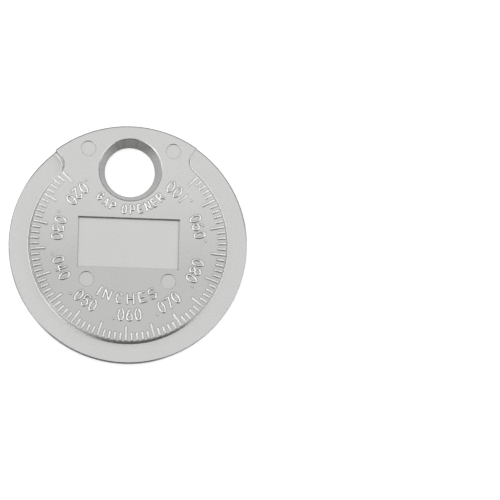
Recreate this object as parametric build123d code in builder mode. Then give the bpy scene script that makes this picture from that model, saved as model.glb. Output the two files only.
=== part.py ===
from build123d import *
import os

# Spark plug gap gauge: one flat die-cast disc, carried on a key ring.
# It lies on its plain back with the dial face up. Millimetres: X to the right, Y towards the hole.

inch = 25.4

# The scale: one tick for each thousandth of an inch that the rim grows in thickness
thinnest_gauge = 0.020 * inch
thickest_gauge = 0.100 * inch
gauge_step = 0.001 * inch
scale_span = 272.0

# The disc, and the dial that stands over its thick rim end
disc_diameter = 45.0
dial_rise = 0.66
face_edge_bevel = 0.11
back_edge_bevel = 0.14

# The ramp sunk into the rim, with the angles that it runs on past the scale
rim_width = 3.88
ramp_lead_in = 5.0
ramp_lead_out = 10.5
ramp_corner_radius = 2.3
ramp_wall_draft = 3.0
ramp_foot_radius = 0.22
ramp_edge_bevel = 0.15

# The raised ticks
ticks_per_long_tick = 5
tick_width = 0.5
tick_height = 0.22
tick_draft = 20.0
tick_to_dial_edge = 0.15
short_tick_length = 1.62
long_tick_length = 2.82

# The tapered hole, which bends a side electrode open and takes the key ring
hole_mouth_diameter = 11.9
hole_throat_diameter = 9.5
hole_throat_length = 0.5
hole_mouth_bevel = 0.1
metal_beyond_hole = 2.45

# The sunken panel below the hole, with a bare floor
panel_width = 19.25
panel_height = 9.65
panel_to_hole = 3.2
panel_depth = 0.9
panel_draft = 10.0

# The round marks that the ejector pins of the die leave, two beside the hole and two below the panel
pin_mark_diameter = 3.0
pin_mark_depth = 0.25
pin_mark_draft = 20.0
upper_pin_inset = 2.85
upper_pin_angle = 24.2
lower_pin_inset = 1.9
lower_pin_drop = 2.3

# What follows from the sizes above
disc_radius = disc_diameter / 2
dial_radius = disc_radius - rim_width
body_thickness = thickest_gauge + dial_rise
tick_count = round((thickest_gauge - thinnest_gauge) / gauge_step) + 1
tick_pitch = scale_span / (tick_count - 1)
long_tick_count = (tick_count - 1) // ticks_per_long_tick + 1
long_tick_span = tick_pitch * ticks_per_long_tick * (long_tick_count - 1)
first_tick_angle = 270 - scale_span / 2
tick_outer_radius = dial_radius - tick_to_dial_edge
ramp_start = first_tick_angle - ramp_lead_in
ramp_sweep = ramp_lead_in + scale_span + ramp_lead_out
rise_per_degree = gauge_step / tick_pitch
hole_y = disc_radius - metal_beyond_hole - hole_mouth_diameter / 2
upper_pin_radius = disc_radius - upper_pin_inset
lower_pin_x = panel_width / 2 - lower_pin_inset
panel_y = hole_y - hole_mouth_diameter / 2 - panel_to_hole - panel_height / 2
lower_pin_y = panel_y - panel_height / 2 - lower_pin_drop

# How far the space that is cut away runs past the ramp, in degrees and in millimetres
overrun = 4.0
overlap = 1.5

# The space above the helical ramp, swept from just before its thin end to just past its thick end
with BuildPart() as above_ramp:
    with BuildLine():
        climb = Helix(
            pitch=360 * rise_per_degree,
            height=(ramp_sweep + 2 * overrun) * rise_per_degree,
            radius=(dial_radius + disc_radius) / 2,
        )
    with BuildSketch(Plane.XZ):
        with Locations((dial_radius - overlap, 0)):
            Rectangle(rim_width + 2 * overlap, 2 * body_thickness, align=(Align.MIN, Align.MIN))
    sweep(path=climb, is_frenet=True)

# The same space seen from above: part of a ring, with round inner corners and drafted walls
with BuildPart() as ramp_space:
    with BuildSketch(Plane.XY.offset(body_thickness)) as ring:
        with BuildLine():
            inner_arc = CenterArc((0, 0), dial_radius, ramp_start, ramp_sweep)
            outer_arc = CenterArc((0, 0), disc_radius + overlap, ramp_start, ramp_sweep)
            Line(inner_arc @ 0, outer_arc @ 0)
            Line(inner_arc @ 1, outer_arc @ 1)
        make_face()
        fillet(ring.vertices().sort_by_distance((0, 0))[:2], ramp_corner_radius)
    extrude(amount=-body_thickness, taper=ramp_wall_draft)
    with Locations((0, 0, thinnest_gauge - (ramp_lead_in + overrun) * rise_per_degree)):
        add(above_ramp.part, rotation=(0, 0, ramp_start - overrun), mode=Mode.INTERSECT)


def flat_faces(disc):
    """The flat faces by area: the back is the last and the dial face the one before it."""
    return disc.faces().filter_by(GeomType.PLANE).sort_by(SortBy.AREA)


def ramp_edges(disc):
    """The edges of the helical surface, which is the largest free-form face."""
    return disc.faces().filter_by(GeomType.BSPLINE).sort_by(SortBy.AREA)[-1].edges()


def is_on_outside(edge):
    """True for an edge that runs along the outside of the disc, and nowhere further in."""
    return edge.distance_to((0, 0, 0)) > disc_radius - ramp_edge_bevel


with BuildPart() as gauge_disc:
    with BuildSketch():
        Circle(disc_radius)
    extrude(amount=body_thickness)

    # The panel and the pin marks are sunk into the face
    with BuildSketch(Plane.XY.offset(body_thickness)):
        with Locations((0, panel_y)):
            Rectangle(panel_width, panel_height)
    extrude(amount=-panel_depth, taper=panel_draft, mode=Mode.SUBTRACT)
    with BuildSketch(Plane.XY.offset(body_thickness)):
        with PolarLocations(upper_pin_radius, 2, 90 - upper_pin_angle, 2 * upper_pin_angle, endpoint=True):
            Circle(pin_mark_diameter / 2)
        with Locations((-lower_pin_x, lower_pin_y), (lower_pin_x, lower_pin_y)):
            Circle(pin_mark_diameter / 2)
    extrude(amount=-pin_mark_depth, taper=pin_mark_draft, mode=Mode.SUBTRACT)

    # The hole: a short straight throat at the back, and a cone from there to the face
    with Locations((0, hole_y, 0)):
        Cylinder(hole_throat_diameter / 2, 2 * hole_throat_length, mode=Mode.SUBTRACT)
    with Locations((0, hole_y, hole_throat_length)):
        Cone(
            hole_throat_diameter / 2,
            hole_mouth_diameter / 2,
            body_thickness - hole_throat_length,
            align=(Align.CENTER, Align.CENTER, Align.MIN),
            mode=Mode.SUBTRACT,
        )
    chamfer(gauge_disc.edges(Select.LAST).sort_by(Axis.Z)[-1], hole_mouth_bevel)

    # The ticks stand on the face, each under its own angle of the ramp; every fifth is a long one
    with BuildSketch(Plane.XY.offset(body_thickness)):
        short_middle = tick_outer_radius - short_tick_length / 2
        with PolarLocations(short_middle, tick_count, first_tick_angle, scale_span, endpoint=True):
            Rectangle(short_tick_length, tick_width)
        long_middle = tick_outer_radius - long_tick_length / 2
        with PolarLocations(long_middle, long_tick_count, first_tick_angle, long_tick_span, endpoint=True):
            Rectangle(long_tick_length, tick_width)
    extrude(amount=tick_height, taper=tick_draft)

    # The ramp, and its broken edges: round the face, the back and the outside of the ramp; then the walls' foot
    add(ramp_space.part, mode=Mode.SUBTRACT)
    chamfer(flat_faces(gauge_disc.part)[-2].outer_wire().edges(), face_edge_bevel)
    chamfer(flat_faces(gauge_disc.part)[-1].outer_wire().edges(), back_edge_bevel)
    chamfer(ramp_edges(gauge_disc.part).filter_by(is_on_outside), ramp_edge_bevel)
    fillet(ramp_edges(gauge_disc.part).filter_by(is_on_outside, reverse=True), ramp_foot_radius)

gauge_disc.part.label = "gauge_disc"
os.makedirs("parts", exist_ok=True)
export_step(gauge_disc.part, "parts/gauge_disc.step")
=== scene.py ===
import math

import bmesh
import bpy
from mathutils import Matrix, Vector


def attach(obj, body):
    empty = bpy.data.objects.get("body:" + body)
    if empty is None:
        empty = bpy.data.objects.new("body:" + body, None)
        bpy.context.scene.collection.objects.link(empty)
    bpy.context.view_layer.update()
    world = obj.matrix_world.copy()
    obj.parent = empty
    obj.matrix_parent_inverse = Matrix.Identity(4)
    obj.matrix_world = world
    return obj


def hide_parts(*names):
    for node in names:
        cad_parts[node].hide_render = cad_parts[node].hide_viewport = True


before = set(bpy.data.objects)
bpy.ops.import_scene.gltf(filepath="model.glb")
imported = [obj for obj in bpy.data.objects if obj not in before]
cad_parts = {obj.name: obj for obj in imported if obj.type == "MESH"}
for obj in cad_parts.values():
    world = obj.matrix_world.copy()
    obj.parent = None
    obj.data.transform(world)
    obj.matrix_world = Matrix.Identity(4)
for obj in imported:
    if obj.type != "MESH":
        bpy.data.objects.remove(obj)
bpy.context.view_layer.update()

MM = 0.001


# The casting's sizes that the lettering and the finishes are set out from

DISC = "gauge_disc"
DISC_CENTRE = Vector((0.0, 0.0, 0.0))
DISC_RADIUS = 22.5 * MM
DIAL_RADIUS = 18.62 * MM
DIAL_HEIGHT = 3.2 * MM
TICK_HEIGHT = 0.22 * MM
RIM_TOP = 2.62 * MM
HOLE_CENTRE = Vector((0.0, 14.1 * MM, 0.0))
HOLE_MOUTH_RADIUS = 5.95 * MM


def put_in_scene(name, data):
    made = bpy.data.objects.new(name, data)
    bpy.context.scene.collection.objects.link(made)
    return made


# The camera

CAMERA_PLACE = (-0.02568, -0.08018, 0.51999)
CAMERA_AIM = (0.02299, -0.00042, DIAL_HEIGHT)
CAMERA_ROLL = math.radians(1.2)
NEAREST_SEEN = 0.01
LENS_MM = 200.0
SENSOR_MM = 36.0


def set_up_camera():
    """Looks down on the gauge, a little from its lower side, with the gauge left of the middle."""
    data = bpy.data.cameras.new("table_camera")
    data.lens = LENS_MM
    data.sensor_width = SENSOR_MM
    data.clip_start = NEAREST_SEEN
    camera = put_in_scene("table_camera", data)
    camera.location = CAMERA_PLACE
    sight = Vector(CAMERA_AIM) - camera.location
    across = sight.cross(Vector((0, 1, 0))).normalized()
    upward = across.cross(sight).normalized()
    stand = Matrix((across, upward, -sight.normalized())).transposed()
    camera.rotation_euler = (stand @ Matrix.Rotation(CAMERA_ROLL, 3, "Z")).to_euler()
    bpy.context.scene.camera = camera


# Helpers for shader nodes

# The Mix node has sockets for each kind of value, and these are the ones for colours
MIX_SHARE = 0
MIX_FIRST = 6
MIX_SECOND = 7
MIX_RESULT = 2

# How many rays feel for edges and corners at each point
EDGE_SAMPLES = 6


class Finish:
    """One material, or one group, under construction: it adds nodes and joins their sockets."""

    def __init__(self, tree):
        self.tree = tree

    def node(self, kind, inputs=None, **settings):
        made = self.tree.nodes.new(kind)
        for name, value in settings.items():
            setattr(made, name, value)
        for key, value in (inputs or {}).items():
            self.feed(made.inputs[key], value)
        return made

    def feed(self, socket, value):
        if isinstance(value, bpy.types.NodeSocket):
            self.tree.links.new(value, socket)
        else:
            socket.default_value = value

    def math(self, operation, *values):
        return self.node("ShaderNodeMath", dict(enumerate(values)), operation=operation).outputs[0]

    def vector(self, operation, *values, result="Vector"):
        made = self.node("ShaderNodeVectorMath", dict(enumerate(values)), operation=operation)
        return made.outputs[result]

    def parts(self, vector):
        """The X, Y and Z of a vector."""
        return self.node("ShaderNodeSeparateXYZ", {0: vector}).outputs

    def blend(self, share, first, second):
        """The first colour where share is 0, and the second where it is 1."""
        colours = {MIX_SHARE: share, MIX_FIRST: first, MIX_SECOND: second}
        return self.node("ShaderNodeMix", colours, data_type="RGBA").outputs[MIX_RESULT]

    def between(self, value, low, high, to_low=0.0, to_high=1.0):
        """value, spread from low..high to to_low..to_high, and held there outside."""
        limits = {"Value": value, "From Min": low, "From Max": high, "To Min": to_low, "To Max": to_high}
        return self.node("ShaderNodeMapRange", limits, clamp=True).outputs["Result"]

    def graded(self, share, none, full):
        """The value none where share is 0, and full where it is 1."""
        return self.between(share, 0.0, 1.0, none, full)

    def noise(self, at, scale, detail=2.0, roughness=0.5):
        values = {"Vector": at, "Scale": scale, "Detail": detail, "Roughness": roughness}
        return self.node("ShaderNodeTexNoise", values).outputs[0]

    def openness(self, reach):
        """1 on a free surface, and less where something stands beside it within reach."""
        made = self.node("ShaderNodeAmbientOcclusion", {"Distance": reach}, samples=EDGE_SAMPLES)
        return made.outputs["AO"]


def new_group(name, inputs, outputs):
    """An empty shader node group with its sockets, and the nodes that its inside starts and ends at."""
    tree = bpy.data.node_groups.new(name, "ShaderNodeTree")
    for socket, (kind, value) in inputs.items():
        made = tree.interface.new_socket(name=socket, in_out="INPUT", socket_type=kind)
        if value is not None:
            made.default_value = value
    for socket, kind in outputs.items():
        tree.interface.new_socket(name=socket, in_out="OUTPUT", socket_type=kind)
    inside = Finish(tree)
    return tree, inside, inside.node("NodeGroupInput"), inside.node("NodeGroupOutput")


# Effects that the disc and its lettering share

GRAIN_SIZE = 0.25 * MM
GRAIN_DETAIL = 3.0
GRAIN_ROUGHNESS = 0.6
CLOUD_SIZE = 5.0 * MM
CLOUD_DEPTH = 0.05


def die_cast_skin():
    """The skin of a die casting: a fine pebbled grain, and soft flow clouds in its brightness."""
    tree, inside, given, result = new_group(
        "die_cast_skin",
        {
            "Place": ("NodeSocketVector", None),
            "Grain Size": ("NodeSocketFloat", GRAIN_SIZE),
            "Cloud Size": ("NodeSocketFloat", CLOUD_SIZE),
            "Cloud Depth": ("NodeSocketFloat", CLOUD_DEPTH),
        },
        {"Grain": "NodeSocketFloat", "Clouds": "NodeSocketFloat"},
    )
    place = given.outputs["Place"]
    grain_scale = inside.math("DIVIDE", 1.0, given.outputs["Grain Size"])
    cloud_scale = inside.math("DIVIDE", 1.0, given.outputs["Cloud Size"])
    grain = inside.noise(place, grain_scale, GRAIN_DETAIL, GRAIN_ROUGHNESS)
    clouds = inside.noise(place, cloud_scale)
    swing = inside.math("MULTIPLY", inside.math("SUBTRACT", clouds, 0.5), given.outputs["Cloud Depth"])
    inside.feed(result.inputs["Grain"], grain)
    inside.feed(result.inputs["Clouds"], inside.math("ADD", swing, 1.0))
    return tree


# Heights above the face of the dial, between which a raised top is more and more worn bright and painted with
# highlight
RUB_AND_HIGHLIGHT_STARTS_AT = 0.08 * MM
RUB_AND_HIGHLIGHT_FULL_AT = 0.2 * MM

# How far the surface turns at an edge that is worn bright and painted with highlight, as a cosine, and how
# open it lies
EDGE_REACH = 0.07 * MM
EDGE_TURN = (0.99, 0.85)
OPEN_REACH = 0.3 * MM
OPEN_SHARE = (0.75, 0.95)

PATCHINESS = 0.5
PATCH_SIZE = 2.5 * MM
PATCH_DETAIL = 1.0


def rub_and_highlight():
    """Where handling has worn the casting bright and where highlight is painted on it: its raised tops and
    its outer edges, in patches.
    """
    tree, inside, given, result = new_group(
        "rub_and_highlight",
        {
            "Place": ("NodeSocketVector", None),
            "Starts At": ("NodeSocketFloat", RUB_AND_HIGHLIGHT_STARTS_AT),
            "Full At": ("NodeSocketFloat", RUB_AND_HIGHLIGHT_FULL_AT),
            "Edge Reach": ("NodeSocketFloat", EDGE_REACH),
            "Patchiness": ("NodeSocketFloat", PATCHINESS),
        },
        {"Rub And Highlight": "NodeSocketFloat"},
    )
    place = given.outputs["Place"]
    above_face = inside.math("SUBTRACT", inside.parts(place)[2], DIAL_HEIGHT)
    raised = inside.between(above_face, given.outputs["Starts At"], given.outputs["Full At"])
    rounded = inside.node("ShaderNodeBevel", {"Radius": given.outputs["Edge Reach"]}, samples=EDGE_SAMPLES)
    flat = inside.node("ShaderNodeNewGeometry")
    agreement = inside.vector("DOT_PRODUCT", rounded.outputs[0], flat.outputs["Normal"], result="Value")
    exposed = inside.between(inside.openness(OPEN_REACH), *OPEN_SHARE)
    edge = inside.math("MULTIPLY", inside.between(agreement, *EDGE_TURN), exposed)
    patches = inside.noise(place, 1.0 / PATCH_SIZE, PATCH_DETAIL)
    worn = inside.math("SUBTRACT", 1.0, inside.math("MULTIPLY", patches, given.outputs["Patchiness"]))
    inside.feed(result.inputs["Rub And Highlight"], inside.math("MULTIPLY", inside.math("MAXIMUM", raised, edge), worn))
    return tree


# Painted shade in inner corners: how far it reaches and how dark it grows
CORNER_REACH = 0.28 * MM
CORNER_SHARE = (0.9, 0.4)
DISC_CORNER_DEPTH = 0.5
LETTER_CORNER_DEPTH = 0.3


def painted_corner_shade():
    """Painted shade in inner corners, beside letters and ticks."""
    tree, inside, given, result = new_group(
        "painted_corner_shade",
        {
            "Reach": ("NodeSocketFloat", CORNER_REACH),
            "Depth": ("NodeSocketFloat", DISC_CORNER_DEPTH),
        },
        {"Shade": "NodeSocketFloat"},
    )
    closed = inside.between(inside.openness(given.outputs["Reach"]), *CORNER_SHARE)
    darkened = inside.math("MULTIPLY", closed, given.outputs["Depth"])
    inside.feed(result.inputs["Shade"], inside.math("SUBTRACT", 1.0, darkened))
    return tree


# Materials

ZINC = (0.608, 0.608, 0.603, 1.0)
ZINC_GROUND = (0.52, 0.52, 0.515, 1.0)
# Painted shade on the outer side of the disc
ZINC_SIDE_SHADE = (0.2, 0.2, 0.195, 1.0)
# Painted shade on the wall of the hole, and darker still on its upper part
ZINC_BORE_SHADE = (0.42, 0.42, 0.415, 1.0)
ZINC_BORE_TOP_SHADE = (0.19, 0.19, 0.185, 1.0)
# Worn bright and painted highlight, on raised tops and outer edges
ZINC_RUB_AND_HIGHLIGHT = (0.8, 0.8, 0.79, 1.0)
ZINC_ROUGHNESS = 0.28
ROUGHNESS_SWING = 0.02
RUBBED_SMOOTHER = 0.08
DISC_GRAIN_HEIGHT = 0.005 * MM
LETTER_GRAIN_HEIGHT = 0.004 * MM

# Most of the grain's values lie in this range
GRAIN_RANGE = (0.3, 0.7)

# How much of the grain's relief is left below the face of the dial, and how far it speckles the face
RELIEF_BELOW_FACE = 0.05
SPECKLE_DEPTH = 0.025

# Each of these pairs is where a zone of the finish begins and where it is full

FACE = (DIAL_HEIGHT - 0.3 * MM, DIAL_HEIGHT - 0.2 * MM)
ABOVE_RAMP = (RIM_TOP, RIM_TOP + 0.1 * MM)
JUST_ABOVE_BACK = (0.01 * MM, 0.06 * MM)
WELL_ABOVE_BACK = (1.0 * MM, 1.2 * MM)
INSIDE_DIAL = (DIAL_RADIUS - 0.1 * MM, DIAL_RADIUS - 0.3 * MM)
OUTER_SIDE = (DISC_RADIUS - 0.26 * MM, DISC_RADIUS - 0.12 * MM)
HOLE_WALL = (HOLE_MOUTH_RADIUS + 0.02 * MM, HOLE_MOUTH_RADIUS - 0.04 * MM)

# The face of the dial is lighter beside the hole and darker down the dial
DULLER_DOWN_DIAL = (9.0 * MM, -4.0 * MM)

# The upper part of the hole's wall is painted darker still as shade, in streaks
BORE_TOP = (2.6 * MM, 4.6 * MM)
STREAK_SCALE = 9.0
STREAK_DETAIL = 3.0
STREAK_RANGE = (0.35, 0.65)
FAINTEST_STREAK = 0.75

# The outer side is painted dark as shade, but for the two places where it is lit, and it gets little of the
# wear and painted highlight
LIT_SIDE_AT = ((-22.3 * MM, -3.1 * MM, 0.0), (18.9 * MM, -12.2 * MM, 0.0))
LIT_SIDE_REACH = 13.0 * MM
LIT_SIDE_FADE = 4.0 * MM
SIDE_RUB_AND_HIGHLIGHT = 0.15

# What a place is multiplied by to bring it down flat to the table
FLAT = (1.0, 1.0, 0.0)


def new_material(name):
    material = bpy.data.materials.new(name)
    material.use_nodes = True
    material.node_tree.nodes.clear()
    return material, Finish(material.node_tree)


def flat_distance(finish, place, centre):
    """How far a point lies from an upright line through centre."""
    return finish.vector("DISTANCE", finish.vector("MULTIPLY", place, FLAT), centre, result="Value")


def hole_zones(finish, place, height):
    """The wall of the tapered hole, painted darker as shade, and the streaky part of it at the top, painted
    darker still.
    """
    near = finish.between(flat_distance(finish, place, HOLE_CENTRE), *HOLE_WALL)
    bore_shade = finish.math("MULTIPLY", near, finish.between(height, *JUST_ABOVE_BACK))
    from_centre = finish.vector("SUBTRACT", place, HOLE_CENTRE)
    upward = finish.parts(from_centre)[1]
    turn = finish.vector("NORMALIZE", finish.vector("MULTIPLY", from_centre, FLAT))
    streaky = finish.noise(turn, STREAK_SCALE, STREAK_DETAIL)
    streaks = finish.between(streaky, *STREAK_RANGE, FAINTEST_STREAK, 1.0)
    bore_top_shade = finish.math("MULTIPLY", finish.between(upward, *BORE_TOP), streaks)
    return bore_shade, bore_top_shade


def off_the_rim(finish, place, height):
    """1 on the dial, its marks and its panel, and 0 on the back, the ramp and the wall beside it."""
    above_ramp = finish.between(height, *ABOVE_RAMP)
    inside_dial = finish.between(flat_distance(finish, place, DISC_CENTRE), *INSIDE_DIAL)
    above_back = finish.between(height, *WELL_ABOVE_BACK)
    return finish.math("MAXIMUM", above_ramp, finish.math("MULTIPLY", inside_dial, above_back))


def painted_side_shade(finish, place):
    """Painted shade on the outer side of the disc with its broken edges, less the two places where it is lit.
    """
    side = finish.between(flat_distance(finish, place, DISC_CENTRE), *OUTER_SIDE)
    lit_spots = [
        finish.between(flat_distance(finish, place, spot), LIT_SIDE_REACH, LIT_SIDE_REACH + LIT_SIDE_FADE, 1.0, 0.0)
        for spot in LIT_SIDE_AT
    ]
    return finish.math("MULTIPLY", side, finish.math("SUBTRACT", 1.0, finish.math("MAXIMUM", *lit_spots)))


def zone_colour(finish, duller, side, bore_shade, bore_top_shade):
    """The colour of the metal in each zone, with painted shade on the outer side and in the hole, before
    wear, painted highlight and shade.
    """
    outside = finish.blend(side, finish.blend(duller, ZINC, ZINC_GROUND), ZINC_SIDE_SHADE)
    return finish.blend(bore_shade, outside, finish.blend(bore_top_shade, ZINC_BORE_SHADE, ZINC_BORE_TOP_SHADE))


def cast_shade(finish, surface, corners, face, off_rim):
    """How bright the metal is from place to place: clouds, painted shade in inner corners, and speckles on
    the face.
    """
    corner_darkening = finish.graded(off_rim, 1.0, corners.outputs["Shade"])
    shade = finish.math("MULTIPLY", surface.outputs["Clouds"], corner_darkening)
    pebbles = finish.between(surface.outputs["Grain"], *GRAIN_RANGE, -1.0, 1.0)
    speckle = finish.math("MULTIPLY_ADD", pebbles, finish.graded(face, 0.0, SPECKLE_DEPTH), 1.0)
    return finish.math("MULTIPLY", shade, speckle)


def cast_roughness(finish, grain, rub_and_highlight_share):
    """Satin, a little uneven with the grain, and smoother where it is worn bright and painted with highlight.
    """
    low, high = ZINC_ROUGHNESS - ROUGHNESS_SWING, ZINC_ROUGHNESS + ROUGHNESS_SWING
    uneven = finish.between(grain, *GRAIN_RANGE, low, high)
    return finish.math("SUBTRACT", uneven, finish.math("MULTIPLY", rub_and_highlight_share, RUBBED_SMOOTHER))


def cast_relief(finish, grain, face, grain_height):
    """The grain as a fine relief, full on the face of the dial and nearly smooth below it."""
    relief = finish.math("MULTIPLY", grain, finish.graded(face, RELIEF_BELOW_FACE, 1.0))
    values = {"Strength": 1.0, "Distance": grain_height, "Height": relief}
    return finish.node("ShaderNodeBump", values).outputs[0]


def cast_zinc(name, skin, rub_and_highlight_group, corner_shade, corner_depth, grain_height):
    """Satin die-cast zinc: grainy and a little darker on the dial's face, smooth below, worn bright and
    painted with highlight above, with painted shade on its outer side, in its hole and in inner corners.
    """
    material, finish = new_material(name)
    place = finish.node("ShaderNodeTexCoord").outputs["Object"]
    surface = finish.node("ShaderNodeGroup", {"Place": place}, node_tree=skin)
    rub_and_highlight_node = finish.node("ShaderNodeGroup", {"Place": place}, node_tree=rub_and_highlight_group)
    # Painted shade in inner corners
    corners = finish.node("ShaderNodeGroup", {"Depth": corner_depth}, node_tree=corner_shade)
    grain = surface.outputs["Grain"]
    _, up_dial, height = finish.parts(place)
    face = finish.between(height, *FACE)
    # Painted shade on the outer side, left off where it is lit
    side = painted_side_shade(finish, place)
    duller = finish.math("MULTIPLY", face, finish.between(up_dial, *DULLER_DOWN_DIAL))
    # The wall of the hole takes painted shade
    cast = zone_colour(finish, duller, side, *hole_zones(finish, place, height))
    rub_and_highlight_share = finish.math("MULTIPLY", rub_and_highlight_node.outputs["Rub And Highlight"], finish.graded(side, 1.0, SIDE_RUB_AND_HIGHLIGHT))
    # Raised tops and outer edges take the bright colour: wear, and painted highlight
    colour = finish.blend(rub_and_highlight_share, cast, ZINC_RUB_AND_HIGHLIGHT)
    shade = cast_shade(finish, surface, corners, face, off_the_rim(finish, place, height))
    shaded = finish.node("ShaderNodeVectorMath", {0: colour, "Scale": shade}, operation="SCALE")
    shader = finish.node(
        "ShaderNodeBsdfPrincipled",
        {
            "Base Color": shaded.outputs[0],
            "Metallic": 1.0,
            "Roughness": cast_roughness(finish, grain, rub_and_highlight_share),
            "Normal": cast_relief(finish, grain, face, grain_height),
        },
    )
    finish.node("ShaderNodeOutputMaterial", {"Surface": shader.outputs[0]})
    return material


WHITE = (1.0, 1.0, 1.0, 1.0)
PAPER = (0.9, 0.9, 0.9, 1.0)

# How much white is added to the lit sheet, where the camera sees it and where the metal does
SEEN_LIFT = 0.42
REFLECTED_LIFT = 0.13


def white_table():
    """A white sheet, full white for the camera and lifted a little in reflections, with only close shadow."""
    material, finish = new_material("white_table")
    path = finish.node("ShaderNodeLightPath").outputs
    seen = finish.math("MULTIPLY", path["Is Camera Ray"], SEEN_LIFT)
    reflected = finish.math("MAXIMUM", path["Is Glossy Ray"], path["Is Transmission Ray"])
    strength = finish.math("ADD", seen, finish.math("MULTIPLY", reflected, REFLECTED_LIFT))
    paper = finish.node("ShaderNodeBsdfDiffuse", {"Color": PAPER})
    lift = finish.node("ShaderNodeEmission", {"Color": WHITE, "Strength": strength})
    both = finish.node("ShaderNodeAddShader", {0: paper.outputs[0], 1: lift.outputs[0]})
    finish.node("ShaderNodeOutputMaterial", {"Surface": both.outputs[0]})
    return material


# The raised lettering: each character is a set of strokes with a half-round ridge

STROKE_WIDTH = 0.42 * MM
STROKE_HEIGHT = 0.21 * MM
STROKE_SINK = 0.02 * MM
HALF_HEIGHT = 0.5
RIDGE_STEPS = 4
RIDGE_TOP_SHARE = 0.12
CAP_STEPS = 4
ARC_STEP = math.radians(18)
SHARP_CORNER = math.radians(95)
MITRE_LIMIT = 0.55


def arc(x, y, across, up, start, stop):
    """Points of an oval arc, in letter units: centre, half-sizes, and start and stop in degrees."""
    begin, end = math.radians(start), math.radians(stop)
    count = max(2, round(abs(end - begin) / ARC_STEP))
    turns = [begin + (end - begin) * step / count for step in range(count + 1)]
    return [(x + across * math.cos(turn), y + up * math.sin(turn)) for turn in turns]


def line(*points):
    """An open stroke: its points, and False, because it isn't closed."""
    return list(points), False


def oval(x, y, across, up):
    """A closed oval stroke: its points, and True."""
    return arc(x, y, across, up, 90, 450)[:-1], True


def digits(side):
    """Strokes of the digits, each centred in a box of half-width side and height 1."""
    top = HALF_HEIGHT
    return {
        "0": [oval(0, 0, side, top)],
        "1": [line((0, -top), (0, top))],
        "2": [line(*arc(0, top - side, side, side, 170, -30), (-side, -top), (side, -top))],
        "3": [
            line(*arc(0, top / 2, side, top / 2, 160, -80)),
            line(*arc(0, -top / 2, side, top / 2, 80, -160)),
        ],
        "4": [line((side * 0.4, -top), (side * 0.4, top), (-side, -top * 0.35), (side, -top * 0.35))],
        "5": [
            line(
                (side, top), (-side * 0.85, top), (-side, top * 0.1),
                *arc(0, -top * 0.35, side, top * 0.65, 120, -150),
            )
        ],
        "6": [
            oval(0, -top * 0.4, side, top * 0.6),
            line(*arc(side * 0.6, -top * 0.4, side * 1.6, top * 1.4, 105, 180)),
        ],
        "7": [line((-side, top), (side, top), (-side * 0.3, -top))],
        "8": [oval(0, top * 0.52, side * 0.9, top * 0.48), oval(0, -top * 0.48, side, top * 0.52)],
        "9": [
            oval(0, top * 0.4, side, top * 0.6),
            line(*arc(-side * 0.6, top * 0.4, side * 1.6, top * 1.4, 0, -75)),
        ],
    }


def letters(side):
    """Strokes of the letters, each centred in a box of half-width side and height 1."""
    top = HALF_HEIGHT
    bowl = line(
        (-side, -top), (-side, top), *arc(0, top * 0.45, side, top * 0.55, 90, -90), (-side, -top * 0.1)
    )
    return {
        "A": [
            line((-side, -top), (0, top), (side, -top)),
            line((-side * 0.6, -top * 0.3), (side * 0.6, -top * 0.3)),
        ],
        "C": [line(*arc(0, 0, side, top, 45, 315))],
        "E": [
            line((side, top), (-side, top), (-side, -top), (side, -top)),
            line((-side, 0), (side * 0.7, 0)),
        ],
        "G": [line(*arc(0, 0, side, top, 45, 330), (side, 0), (side * 0.2, 0))],
        "H": [
            line((-side, -top), (-side, top)),
            line((side, -top), (side, top)),
            line((-side, 0), (side, 0)),
        ],
        "I": [line((0, -top), (0, top))],
        "N": [line((-side, -top), (-side, top), (side, -top), (side, top))],
        "O": [oval(0, 0, side, top)],
        "P": [bowl],
        "R": [bowl, line((0, -top * 0.1), (side, -top))],
        "S": [
            line(
                *arc(0, top * 0.5, side, top * 0.5, 30, 270),
                *arc(0, -top * 0.5, side, top * 0.5, 90, -150)[1:],
            )
        ],
    }


def split_at_corners(points, closed):
    """Parts of a stroke between its sharp corners, which then meet in round ends."""
    if closed:
        return [(points, True)]
    parts = [[points[0]]]
    for before, point, after in zip(points, points[1:], points[2:] + [None]):
        parts[-1].append(point)
        if after is not None and (point - before).angle(after - point) > SHARP_CORNER:
            parts.append([point])
    return [(part, False) for part in parts]


def round_cap(point, side, reach):
    """Points of the half circle round the end of a stroke."""
    turns = [math.pi * step / CAP_STEPS for step in range(1, CAP_STEPS)]
    return [point + Matrix.Rotation(turn, 2) @ side.normalized() * reach for turn in reversed(turns)]


def outline_loops(points, closed, reach):
    """The outline of a stroke at a distance from its line: two loops if closed, and one if open."""
    count = len(points)
    sides = []
    for index, point in enumerate(points):
        before = points[index - 1] if (index > 0 or closed) else None
        after = points[(index + 1) % count] if (index < count - 1 or closed) else None
        ahead = (after - point).normalized() if after is not None else (point - before).normalized()
        behind = (point - before).normalized() if before is not None else ahead
        middle = (ahead + behind).normalized()
        lengthen = 1.0 / max(MITRE_LIMIT, middle.dot(ahead))
        sides.append(Vector((-middle.y, middle.x)) * lengthen)
    left = [point + side * reach for point, side in zip(points, sides)]
    right = [point - side * reach for point, side in zip(points, sides)]
    if closed:
        return [left, right]
    start_cap = round_cap(points[0], sides[0], reach)
    end_cap = round_cap(points[-1], -sides[-1], reach)
    return [start_cap + left + end_cap + right[::-1]]


def ridge_section():
    """The half-width and the height of a ridge, from its foot to its top."""
    rows = [(STROKE_WIDTH / 2, -STROKE_SINK)]
    for step in range(RIDGE_STEPS):
        lean = math.pi / 2 * step / RIDGE_STEPS
        rows.append((STROKE_WIDTH / 2 * math.cos(lean), STROKE_HEIGHT * math.sin(lean)))
    rows.append((STROKE_WIDTH / 2 * RIDGE_TOP_SHARE, STROKE_HEIGHT))
    return rows


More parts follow.
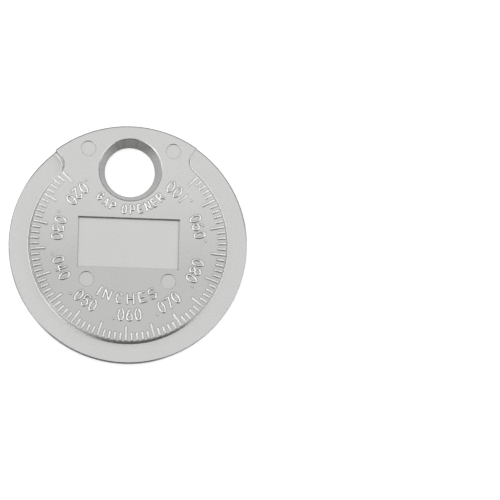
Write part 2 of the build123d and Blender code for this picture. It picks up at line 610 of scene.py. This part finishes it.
def ring(mesh, loop, height):
    """Corners along a loop, all at one height."""
    return [mesh.verts.new((spot.x, spot.y, height)) for spot in loop]


def wall(mesh, low, high):
    """A band of faces from one ring of corners to another."""
    for index in range(len(low)):
        following = (index + 1) % len(low)
        mesh.faces.new((low[index], low[following], high[following], high[index]))


def ridge(points, closed):
    """A closed half-round ridge along a stroke, as a bmesh in metres with its foot just under the face."""
    mesh = bmesh.new()
    rows = [(outline_loops(points, closed, reach), height) for reach, height in ridge_section()]
    loop_count = 2 if closed else 1
    stacks = [[ring(mesh, loops[index], height) for loops, height in rows] for index in range(loop_count)]
    for rings in stacks:
        for low, high in zip(rings, rings[1:]):
            wall(mesh, low, high)
    if closed:
        left, right = stacks
        wall(mesh, left[-1], right[-1])
        wall(mesh, left[0], right[0])
    else:
        mesh.faces.new(stacks[0][0])
        mesh.faces.new(stacks[0][-1])
    bmesh.ops.recalc_face_normals(mesh, faces=mesh.faces)
    return mesh


def add_character(strokes, height, stand, into):
    """Adds one character's ridges, height tall, to the bmesh into, at the placement stand."""
    sized = [([Vector(point) * height for point in points], closed) for points, closed in strokes]
    for points, closed in [part for stroke in sized for part in split_at_corners(*stroke)]:
        one = ridge(points, closed)
        one.transform(stand)
        loose = bpy.data.meshes.new("stroke")
        one.to_mesh(loose)
        one.free()
        into.from_mesh(loose)
        bpy.data.meshes.remove(loose)


def smooth_mesh(name, mesh):
    """A smooth-shaded mesh, made from a bmesh that is then freed."""
    data = bpy.data.meshes.new(name)
    mesh.to_mesh(data)
    mesh.free()
    for face in data.polygons:
        face.use_smooth = True
    return data


def raised_piece(name, mesh, finish):
    """A piece of lettering on the face, made from a bmesh."""
    data = smooth_mesh(name, mesh)
    data.materials.append(finish)
    piece = put_in_scene(name, data)
    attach(piece, "root")


def letter_round(name, words, shapes, centre, radius, height, finish):
    """A piece of raised lettering on an arc: every character stands with its top towards the arc's centre."""
    mesh = bmesh.new()
    for character, degrees in words:
        turn = math.radians(degrees)
        spot = centre + Vector((radius * math.cos(turn), radius * math.sin(turn), DIAL_HEIGHT))
        stand = Matrix.Translation(spot) @ Matrix.Rotation(turn + math.pi / 2, 4, "Z")
        add_character(shapes[character], height, stand, mesh)
    raised_piece(name, mesh, finish)


# The casting

TICK_TOP_ROUNDING = 0.1 * MM
TICK_ROUNDING_STEPS = 3
ROUND_PROFILE = 0.5
SAME_CORNER = 0.001 * MM
SAME_PLANE = 0.01
CREASE_ANGLE = math.radians(28)
FACE_AREA_WEIGHT = 100


def round_tops_of_ticks(mesh):
    """Rounds the top edges of the ticks, which in the solid are sharp."""
    above_face = DIAL_HEIGHT + TICK_HEIGHT / 2
    tick_faces = [face for face in mesh.faces if any(corner.co.z > above_face for corner in face.verts)]
    corners = list(dict.fromkeys(corner for face in tick_faces for corner in face.verts))
    bmesh.ops.remove_doubles(mesh, verts=corners, dist=SAME_CORNER)
    tops = [edge for edge in mesh.edges if all(end.co.z > above_face for end in edge.verts)]
    bmesh.ops.dissolve_edges(mesh, edges=[edge for edge in tops if edge.calc_face_angle(0.0) < SAME_PLANE])
    rims = [edge for edge in mesh.edges if all(end.co.z > above_face for end in edge.verts)]
    bmesh.ops.bevel(
        mesh, geom=rims, offset=TICK_TOP_ROUNDING, segments=TICK_ROUNDING_STEPS, profile=ROUND_PROFILE,
        affect="EDGES", clamp_overlap=True,
    )


def dressed_disc(finish):
    """The casting itself, as the solid has it but for the round tops of the ticks."""
    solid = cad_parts[DISC]
    mesh = bmesh.new()
    mesh.from_mesh(solid.data)
    round_tops_of_ticks(mesh)
    data = smooth_mesh("disc_casting", mesh)
    data.attributes.remove(data.attributes["custom_normal"])
    data.set_sharp_from_angle(angle=CREASE_ANGLE)
    data.materials.append(finish)
    piece = put_in_scene("disc_casting", data)
    even_shading = piece.modifiers.new("even_shading", "WEIGHTED_NORMAL")
    even_shading.mode = "FACE_AREA"
    even_shading.weight = FACE_AREA_WEIGHT
    even_shading.keep_sharp = True
    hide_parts(DISC)
    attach(piece, "root")


# The numbers of the scale, by the middle of each on the dial, in degrees

DIGIT_RADIUS = 13.55 * MM
DIGIT_HEIGHT = 2.08 * MM
DIGIT_HALF_WIDTH = 0.25
DIGIT_PITCH = 6.8
SCALE_NUMBERS = (
    ("020", 137.2), ("030", 169.2), ("040", 201.8), ("050", 235.0), ("060", 272.3),
    ("070", 305.7), ("080", 339.4), ("090", 375.8), ("100", 408.4),
)
POINT_RADIUS = 14.5 * MM
POINT_BEFORE_FIRST = 5.2
POINT_FOOT = 0.27 * MM
POINT_TOP = 0.17 * MM
POINT_HEIGHT = 0.15 * MM
POINT_SIDES = 24
POINT_ROUNDING = 0.04 * MM
POINT_ROUNDING_STEPS = 2


def decimal_point(name, degrees, finish):
    """A low round stud."""
    turn = math.radians(degrees)
    spot = (POINT_RADIUS * math.cos(turn), POINT_RADIUS * math.sin(turn))
    depth = POINT_HEIGHT + STROKE_SINK
    middle = DIAL_HEIGHT - STROKE_SINK + depth / 2
    mesh = bmesh.new()
    bmesh.ops.create_cone(
        mesh, cap_ends=True, segments=POINT_SIDES, radius1=POINT_FOOT, radius2=POINT_TOP, depth=depth,
        matrix=Matrix.Translation((*spot, middle)),
    )
    top_rim = [edge for edge in mesh.edges if all(end.co.z > middle for end in edge.verts)]
    bmesh.ops.bevel(
        mesh, geom=top_rim, offset=POINT_ROUNDING, segments=POINT_ROUNDING_STEPS, profile=ROUND_PROFILE,
        affect="EDGES",
    )
    raised_piece(name, mesh, finish)


def scale_numbers(finish):
    """The numbers of the scale, one piece for each, with its decimal point."""
    shapes = digits(DIGIT_HALF_WIDTH)
    for number, middle in SCALE_NUMBERS:
        words = [(digit, middle + DIGIT_PITCH * (place - 1)) for place, digit in enumerate(number)]
        letter_round("number_" + number, words, shapes, DISC_CENTRE, DIGIT_RADIUS, DIGIT_HEIGHT, finish)
        decimal_point("point_" + number, middle - DIGIT_PITCH - POINT_BEFORE_FIRST, finish)


# The words, letter by letter, each with its place round the dial or round the hole, in degrees

UNIT_RADIUS = 10.5 * MM
UNIT_HEIGHT = 1.82 * MM
UNIT_HALF_WIDTH = 0.33
UNIT_WORD = (("I", 240.1), ("N", 249.1), ("C", 262.2), ("H", 273.6), ("E", 285.8), ("S", 296.6))

HOLE_WORD_RADIUS = 7.62 * MM
HOLE_WORD_HEIGHT = 1.5 * MM
HOLE_WORD_HALF_WIDTH = 0.265
HOLE_WORDS = (
    ("G", 223.5), ("A", 234.5), ("P", 245.6), ("O", 262.6), ("P", 274.2),
    ("E", 285.4), ("N", 297.0), ("E", 307.4), ("R", 318.6),
)


def unit_word(finish):
    shapes = letters(UNIT_HALF_WIDTH)
    letter_round("unit_word", UNIT_WORD, shapes, DISC_CENTRE, UNIT_RADIUS, UNIT_HEIGHT, finish)


def hole_words(finish):
    shapes = letters(HOLE_WORD_HALF_WIDTH)
    letter_round("hole_words", HOLE_WORDS, shapes, HOLE_CENTRE, HOLE_WORD_RADIUS, HOLE_WORD_HEIGHT, finish)


# The table and the light

TABLE_HALF = 1.5
TABLE_GAP = 0.02 * MM


def lay_table():
    mesh = bmesh.new()
    lowered = Matrix.Translation((0, 0, -TABLE_GAP))
    bmesh.ops.create_grid(mesh, x_segments=1, y_segments=1, size=TABLE_HALF, matrix=lowered)
    data = bpy.data.meshes.new("table_top")
    mesh.to_mesh(data)
    mesh.free()
    data.materials.append(white_table())
    table = put_in_scene("table_top", data)


def soft_light(name, azimuth, elevation, distance, width, height, brightness):
    """A soft box of the given brightness, where 1 lights a surface that fills its view to its own colour."""
    data = bpy.data.lights.new(name, "AREA")
    data.shape = "RECTANGLE"
    data.size = width
    data.size_y = height
    data.energy = brightness * math.pi * width * height
    lamp = put_in_scene(name, data)
    turn, rise = math.radians(azimuth), math.radians(elevation)
    towards = Vector((math.cos(rise) * math.cos(turn), math.cos(rise) * math.sin(turn), math.sin(rise)))
    lamp.location = towards * distance
    lamp.rotation_euler = (-lamp.location).to_track_quat("-Z", "Y").to_euler()
    lamp.visible_camera = False


# Azimuth, elevation, distance, width, height and brightness
OVERHEAD_BOX = (90, 80, 1.0, 1.7, 1.0, 0.88)

# The side boxes stand round the gauge, low at the lower left and the lower right and high elsewhere, and
# leave a dark gap on its lower side. Azimuth, elevation, height and brightness of each
SIDE_BOX_DISTANCE = 1.2
SIDE_BOX_WIDTH = 0.85
SIDE_BOXES = (
    (-25, 28, 0.85, 1.6), (25, 42, 0.6, 1.2), (70, 42, 0.6, 1.2), (115, 42, 0.6, 1.1), (158, 42, 0.6, 1.1),
    (195, 34, 0.75, 1.4), (227, 28, 0.85, 1.7),
)
ROOM_BRIGHTNESS = 0.12


def set_up_light():
    soft_light("overhead_box", *OVERHEAD_BOX)
    for azimuth, elevation, height, brightness in SIDE_BOXES:
        name = f"side_box_{azimuth}"
        soft_light(name, azimuth, elevation, SIDE_BOX_DISTANCE, SIDE_BOX_WIDTH, height, brightness)
    world = bpy.data.worlds.new("studio")
    world.use_nodes = True
    room = world.node_tree.nodes["Background"]
    room.inputs["Color"].default_value = WHITE
    room.inputs["Strength"].default_value = ROOM_BRIGHTNESS
    bpy.context.scene.world = world
    bpy.context.scene.view_settings.view_transform = "Standard"


# The whole scene

set_up_camera()
set_up_light()
lay_table()

skin = die_cast_skin()
# Wear and painted highlight on raised tops and outer edges
rub_and_highlight_group = rub_and_highlight()
# Painted shade in inner corners
corner_shade = painted_corner_shade()
disc_finish = cast_zinc("cast_zinc_disc", skin, rub_and_highlight_group, corner_shade, DISC_CORNER_DEPTH, DISC_GRAIN_HEIGHT)
letter_finish = cast_zinc("cast_zinc_letters", skin, rub_and_highlight_group, corner_shade, LETTER_CORNER_DEPTH, LETTER_GRAIN_HEIGHT)

dressed_disc(disc_finish)
scale_numbers(letter_finish)
unit_word(letter_finish)
hole_words(letter_finish)
